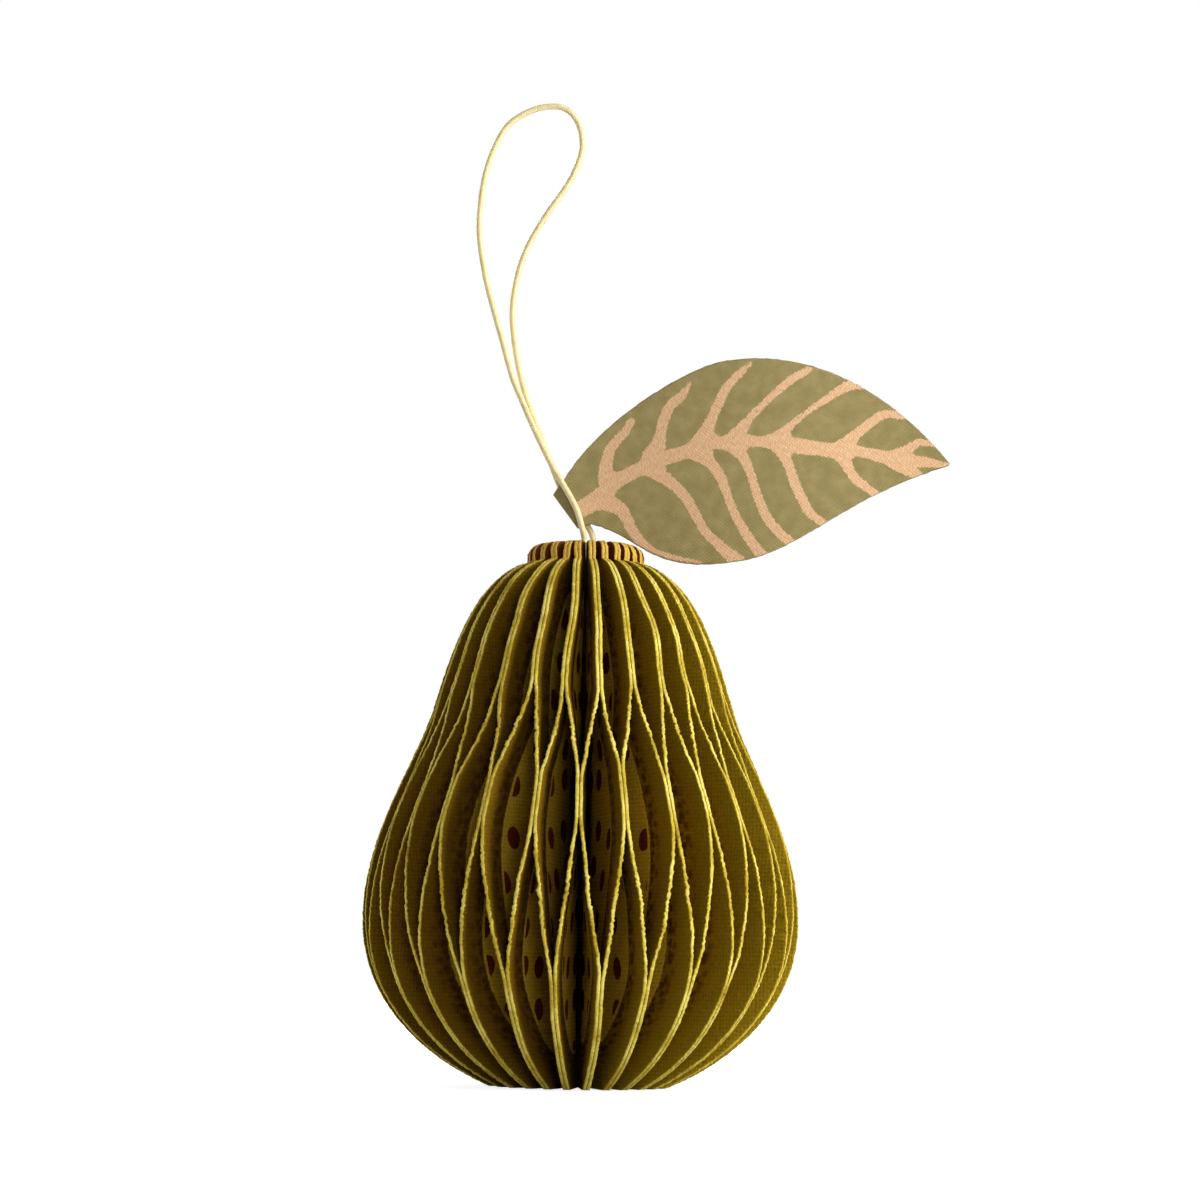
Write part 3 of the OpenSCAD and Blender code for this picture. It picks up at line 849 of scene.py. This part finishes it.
# %% Dabs under the skin, soft and blotchy
DAB_PITCH = 1.5
dab_place = add(tree, "VectorMath", {0: edge_uv, "Scale": 1 / DAB_PITCH}, operation="SCALE")
dab = add(tree, "TexVoronoi", {"Vector": dab_place, "Scale": 1, "Randomness": 1},
          voronoi_dimensions="2D").outputs["Distance"]
dab_rough = add(tree, "Math", {0: bleed_mm, 1: 1.1, 2: dab}, operation="MULTIPLY_ADD")
dab_mask = add(tree, "MapRange", {0: dab_rough, 1: 0.22, 2: 0.6, 3: 0.85, 4: 0})
blotch = add(tree, "Math", {0: bleed_mm, 1: 3.2, 2: print_depth}, operation="MULTIPLY_ADD")
band_in = add(tree, "MapRange", {0: blotch, 1: 3.0, 2: 4.8, 3: 0, 4: 1})
band_out = add(tree, "MapRange", {0: rough_depth, 1: 6.0, 2: 6.4, 3: 1, 4: 0})
band = add(tree, "Math", {0: band_in, 1: band_out}, operation="MULTIPLY")
dabs = add(tree, "Math", {0: dab_mask, 1: band}, operation="MULTIPLY")
with_dabs = add(tree, "Mix", {0: dabs, 6: with_margin, 7: ink("#40240a")},
                data_type="RGBA").outputs[2]
print("with the dabs:", len(tree.nodes))

# %% Pips in the flesh, about 3.6 mm toward the spine and 3.2 mm high
PIP_SPACING, PIP_TILT = (7.0, 6.1), 0.12
pip_place = add(tree, "Mapping", {"Vector": plane, "Rotation": (0, 0, PIP_TILT),
                                  "Scale": (1 / PIP_SPACING[0], 1 / PIP_SPACING[1], 1)})
pip = add(tree, "TexVoronoi", {"Vector": pip_place, "Scale": 1, "Randomness": 0.4},
          voronoi_dimensions="2D").outputs["Distance"]
pip_rough = add(tree, "Math", {0: bleed_mm, 1: 0.05, 2: pip}, operation="MULTIPLY_ADD")
pip_mask = add(tree, "MapRange", {0: pip_rough, 1: 0.25, 2: 0.268, 3: 1, 4: 0})
flesh = add(tree, "MapRange", {0: print_depth, 1: FLESH_DEPTH + 0.5, 2: FLESH_DEPTH + 0.6})
pips = add(tree, "Math", {0: pip_mask, 1: flesh}, operation="MULTIPLY")
with_pips = add(tree, "Mix", {0: pips, 6: with_dabs, 7: ink("#642610")},
                data_type="RGBA").outputs[2]
print("with the pips:", len(tree.nodes))

# %% Brown stem print on the collar
STEM_START, STEM_FULL = 75.4, 76.4
stem = add(tree, "MapRange", {0: height, 1: STEM_START, 2: STEM_FULL})
with_stem = add(tree, "Mix", {0: stem, 6: with_pips, 7: ink("#6a340e")},
                data_type="RGBA").outputs[2]
print("with the stem:", len(tree.nodes))

# %% Linen tooth and finish
# A wave texture repeats after this many units at scale 1, so the scale gives the pitch.
WAVE_REPEAT = 0.31416
LINEN_PITCH = 0.56
weft, warp = (
    add(tree, "TexWave", {"Vector": plane, "Scale": WAVE_REPEAT / LINEN_PITCH,
                          "Distortion": 1.2, "Detail Scale": 2.0},
        bands_direction=way).outputs["Fac"]
    for way in "YX"
)
tooth = add(tree, "Math", {0: weft, 1: warp}, operation="ADD")
fleck = add(tree, "TexNoise", {"Vector": place, "Scale": 2600, "Detail": 3})
grain = add(tree, "Math", {0: tooth, 1: 0.2, 2: fleck}, operation="MULTIPLY_ADD")
shade = add(tree, "MapRange", {0: grain, 1: 0.4, 2: 1.0, 3: 0.68, 4: 1.28})
paper_colour = add(tree, "VectorMath", {0: with_stem, "Scale": shade}, operation="SCALE")
paper_bump = add(tree, "Bump", {"Height": grain, "Strength": 0.5, "Distance": 0.0001})
join(tree, shader, {"Base Color": paper_colour, "Normal": paper_bump, "Roughness": 0.85,
                    "Specular IOR Level": 0.1})
print("page print nodes:", len(tree.nodes))

# %% [markdown]
# ## The torn edge
# The cut edge shows the paper's own yellow dye, with loose cotton fibres. It is the
# brightest thing on the pear. Fine noise in the colour and in the bump stands for the
# fibres. The brown ink of the faces bleeds over both corners of the rim, and at the
# collar the stem's ink tints it orange.

# %% Page edge
FIBRE_SCALE = 2400
torn_edge, tree, shader = new_material("torn_cotton_edge")
place = add(tree, "TexCoord").outputs["Object"]
fibre = add(tree, "TexNoise", {"Vector": place, "Scale": FIBRE_SCALE, "Detail": 5,
                               "Roughness": 0.65})
patch = add(tree, "TexNoise", {"Vector": place, "Scale": 260, "Detail": 3})
mixed = add(tree, "Math", {0: fibre, 1: 0.7, 2: patch}, operation="MULTIPLY_ADD")
edge_tone = add(tree, "ValToRGB", {0: mixed})
set_ramp(edge_tone, [(0.52, "#8a6c1a"), (0.7, "#b9a235"), (0.84, "#cdba4a"), (0.98, "#e6d76c")])
side = add(tree, "Attribute", attribute_name="side").outputs["Fac"]
corner = add(tree, "Math", {0: side}, operation="ABSOLUTE")
side_rough = add(tree, "Math", {0: fibre, 1: 0.8, 2: corner}, operation="MULTIPLY_ADD")
fringe = add(tree, "MapRange", {0: side_rough, 1: 1.05, 2: 1.35, 3: 0, 4: 0.8})
fringed = add(tree, "Mix", {0: fringe, 6: edge_tone, 7: ink("#a87e20")},
              data_type="RGBA").outputs[2]
plane = add(tree, "UVMap", uv_map="plane")
edge_height = add(tree, "SeparateXYZ", {0: plane}).outputs["Y"]
stem = add(tree, "MapRange", {0: edge_height, 1: STEM_START - 0.2, 2: STEM_FULL, 3: 0, 4: 0.85})
edge_colour = add(tree, "Mix", {0: stem, 6: fringed, 7: ink("#cda548")},
                  data_type="RGBA").outputs[2]
edge_bump = add(tree, "Bump", {"Height": fibre, "Strength": 0.9, "Distance": 0.0002})
join(tree, shader, {"Base Color": edge_colour, "Normal": edge_bump, "Roughness": 0.9,
                    "Specular IOR Level": 0.08})
for page in pages:
    page.data.materials.append(printed_paper)
    page.data.materials.append(torn_edge)
print("edge nodes:", len(tree.nodes))

# %% [markdown]
# ## The leaf's paper and its copper ink
# The leaf is the same kind of cotton paper in olive, with a fine cloth grain pressed
# into it. The veins are copper ink laid on with a brush: it has a soft metallic glow,
# streaks along the brush and a rough edge.

# %% Leaf materials
leaf_paper, tree, shader = new_material("olive_cotton_paper_with_copper_ink")
plane = add(tree, "UVMap", uv_map="plane")
distance = add(tree, "Attribute", attribute_name="vein").outputs["Fac"]
ragged = add(tree, "TexNoise", {"Vector": plane, "Scale": 2.2, "Detail": 5, "Roughness": 0.6})
ragged_mm = add(tree, "Math", {0: ragged, 1: 0.5}, operation="SUBTRACT")
brush = add(tree, "Math", {0: ragged_mm, 1: 0.9, 2: distance}, operation="MULTIPLY_ADD")
vein_mask = add(tree, "MapRange", {0: brush, 1: -0.05, 2: 0.07, 3: 1, 4: 0})
CLOTH_PITCH = 0.4
cloth_place = add(tree, "Mapping", {"Vector": plane, "Rotation": (0, 0, 0.75)})
warp, weft = (
    add(tree, "TexWave", {"Vector": cloth_place, "Scale": WAVE_REPEAT / CLOTH_PITCH,
                          "Distortion": 1.5, "Detail Scale": 1.5},
        bands_direction=way).outputs["Fac"]
    for way in "XY"
)
cloth = add(tree, "Math", {0: warp, 1: weft}, operation="ADD")
cloud = add(tree, "TexNoise", {"Vector": plane, "Scale": 0.5, "Detail": 6})
tone = add(tree, "Math", {0: cloth, 1: 0.1, 2: cloud}, operation="MULTIPLY_ADD")
olive = add(tree, "ValToRGB", {0: tone})
set_ramp(olive, [(0.3, "#807345"), (0.6, "#8d7f50"), (0.95, "#9c8e5e")])
streak_place = add(tree, "Mapping", {"Vector": plane, "Rotation": (0, 0, 0.9),
                                     "Scale": (4.5, 0.9, 1)})
streak = add(tree, "TexNoise", {"Vector": streak_place, "Scale": 1.6, "Detail": 4})
glimmer = add(tree, "Math", {0: cloth, 1: 0.07, 2: streak}, operation="MULTIPLY_ADD")
copper = add(tree, "ValToRGB", {0: glimmer})
set_ramp(copper, [(0.4, "#b98e66"), (0.62, "#c9a37c"), (0.85, "#dbbe95")])
leaf_colour = add(tree, "Mix", {0: vein_mask, 6: olive, 7: copper}, data_type="RGBA").outputs[2]
leaf_gloss = add(tree, "MapRange", {0: vein_mask, 3: 0.8, 4: 0.5})
leaf_metal = add(tree, "MapRange", {0: vein_mask, 3: 0.0, 4: 0.25})
leaf_relief = add(tree, "Math", {0: vein_mask, 1: 0.35, 2: cloth}, operation="MULTIPLY_ADD")
leaf_bump = add(tree, "Bump", {"Height": leaf_relief, "Strength": 0.25, "Distance": 0.00006})
join(tree, shader, {"Base Color": leaf_colour, "Normal": leaf_bump, "Roughness": leaf_gloss,
                    "Metallic": leaf_metal, "Specular IOR Level": 0.25})
print("leaf nodes:", len(tree.nodes))

# %% Cut edge of the leaf
leaf_cut, tree, shader = new_material("cut_edge_of_olive_paper")
place = add(tree, "TexCoord").outputs["Object"]
fibre = add(tree, "TexNoise", {"Vector": place, "Scale": FIBRE_SCALE, "Detail": 5})
cut_tone = add(tree, "ValToRGB", {0: fibre})
set_ramp(cut_tone, [(0.3, "#746b45"), (0.7, "#9c9168")])
join(tree, shader, {"Base Color": cut_tone, "Roughness": 0.9})
leaf_mesh.materials.append(leaf_paper)
leaf_mesh.materials.append(leaf_cut)
print("leaf materials:", [m.name for m in leaf_mesh.materials])

# %% [markdown]
# ## Waxed cord and spine board
# The cord is two waxed cotton strands laid together. The wax gives it a satin light,
# and the lay shows as fine slanted lines. The spine is a slim rolled core of grey-brown
# board, seen only from above between the page tops.

# %% Cord material
waxed_cord, tree, shader = new_material("waxed_cotton_cord")
cord_uv = add(tree, "UVMap")
place = add(tree, "TexCoord").outputs["Object"]
lay_place = add(tree, "Mapping", {"Vector": cord_uv, "Scale": (170, 3, 1)})
lay = add(tree, "TexWave", {"Vector": lay_place, "Scale": WAVE_REPEAT, "Distortion": 0.6},
          bands_direction="DIAGONAL").outputs["Fac"]
wax = add(tree, "TexNoise", {"Vector": place, "Scale": 900, "Detail": 4})
cord_grain = add(tree, "Math", {0: lay, 1: 0.12, 2: wax}, operation="MULTIPLY_ADD")
cord_tone = add(tree, "ValToRGB", {0: cord_grain})
set_ramp(cord_tone, [(0.35, "#dac68f"), (0.6, "#e2d09d"), (0.85, "#e8d7a8")])
cord_bump = add(tree, "Bump", {"Height": cord_grain, "Strength": 0.1, "Distance": 0.00006})
join(tree, shader, {"Base Color": cord_tone, "Normal": cord_bump, "Roughness": 0.5,
                    "Specular IOR Level": 0.4})
cord_mesh.materials.append(waxed_cord)
print("cord nodes:", len(tree.nodes))

# %% Spine material
spine_board, tree, shader = new_material("rolled_spine_board")
place = add(tree, "TexCoord").outputs["Object"]
pulp = add(tree, "TexNoise", {"Vector": place, "Scale": 700, "Detail": 5})
pulp_tone = add(tree, "ValToRGB", {0: pulp})
set_ramp(pulp_tone, [(0.3, "#5c4a20"), (0.7, "#7d6a34")])
pulp_bump = add(tree, "Bump", {"Height": pulp, "Strength": 0.4, "Distance": 0.0002})
join(tree, shader, {"Base Color": pulp_tone, "Normal": pulp_bump, "Roughness": 0.9})
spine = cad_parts["spine_core"]
spine.data.materials.clear()
spine.data.materials.append(spine_board)
print("materials:", len(bpy.data.materials))

# %% [markdown]
# ## Floor, world and lamps
# The photograph stands on plain white. Here the floor is pale, and for camera rays it
# is mostly a steady white with a share of real light, so it shows white but keeps the
# soft shadow of the pear. Away from the pear the steady part rises to full white.
# The key light stands in front to the right and a little above, so it reaches deep into
# the cells on the right and only grazes those on the left. A second one lights the right
# side, a third one the back, and a weaker one the left side from a little behind, so that
# of what the photograph shows it reaches the rims alone. A weak small one in front reaches
# into the middle cells, and the world adds a low even light.

# %% Floor
FLOOR_HALF, FLOOR_GAP = 1.5, 0.0001
floor_board = bmesh.new()
bmesh.ops.create_grid(floor_board, x_segments=2, y_segments=2, size=FLOOR_HALF)
for v in floor_board.verts:
    v.co.z = -FLOOR_GAP
floor_mesh = bpy.data.meshes.new("floor")
floor_board.to_mesh(floor_mesh)
floor_board.free()
floor = bpy.data.objects.new("floor", floor_mesh)
scene.collection.objects.link(floor)
print("floor, m:", 2 * FLOOR_HALF)

# %% Floor paint
floor_paint = bpy.data.materials.new("pale_floor")
tree = empty_tree(floor_paint)
seen = add(tree, "LightPath")
plain = add(tree, "BsdfDiffuse", {"Color": ink("#e6e6e4")})
tinted = add(tree, "BsdfDiffuse", {"Color": (0.42, 0.42, 0.42, 1)})
away = add(tree, "VectorMath", {0: add(tree, "TexCoord").outputs["Object"]}, operation="LENGTH")
near_white = add(tree, "MapRange", {0: away.outputs["Value"], 1: 0.04, 2: 0.15, 3: 0.84, 4: 1})
steady = add(tree, "Emission", {"Color": (1, 1, 1, 1), "Strength": near_white})
white = add(tree, "AddShader", {0: tinted, 1: steady})
shown = add(tree, "MixShader", {0: seen.outputs["Is Camera Ray"], 1: plain, 2: white})
add(tree, "OutputMaterial", {"Surface": shown})
floor_mesh.materials.append(floor_paint)
print("floor nodes:", len(tree.nodes))

# %% World
world = bpy.data.worlds.new("studio")
scene.world = world
tree = empty_tree(world)
seen = add(tree, "LightPath")
low_light = add(tree, "Background", {"Color": (1, 0.985, 0.95, 1), "Strength": 0.08})
backdrop = add(tree, "Background", {"Color": (1, 1, 1, 1), "Strength": 1})
either = add(tree, "Math", {0: seen.outputs["Is Camera Ray"], 1: seen.outputs["Is Glossy Ray"]},
             operation="MAXIMUM")
world_mix = add(tree, "MixShader", {0: either, 1: low_light, 2: backdrop})
add(tree, "OutputWorld", {"Surface": world_mix})
print("world nodes:", len(tree.nodes))

# %% Lamps
LAMP_AIM = Vector((0, 0, 0.06))


def lamp(name, place, size, share):
    """A square area light. Its share is how brightly it lights a white surface facing it."""
    light = bpy.data.lights.new(name, "AREA")
    light.size = size
    offset = Vector(place) - LAMP_AIM
    light.energy = share * math.pi**2 * offset.length_squared
    lamp_object = bpy.data.objects.new(name, light)
    lamp_object.location = place
    lamp_object.rotation_euler = offset.to_track_quat("Z", "Y").to_euler()
    scene.collection.objects.link(lamp_object)
    print(name, "%.1f W" % light.energy)


lamp("key", (0.70, -0.45, 0.26), 0.35, 1.0)
lamp("side", (0.66, -0.12, 0.57), 0.4, 0.32)
lamp("front", (0.17, -0.82, 0.17), 0.25, 0.17)
lamp("back", (-0.25, 0.78, 0.40), 0.5, 0.75)
lamp("left", (-0.80, 0.22, 0.30), 0.5, 0.35)

# %% View
scene.view_settings.view_transform = "Standard"
print("view:", scene.view_settings.view_transform)

# %% [markdown]
# ## The end

# %% End
print("done")
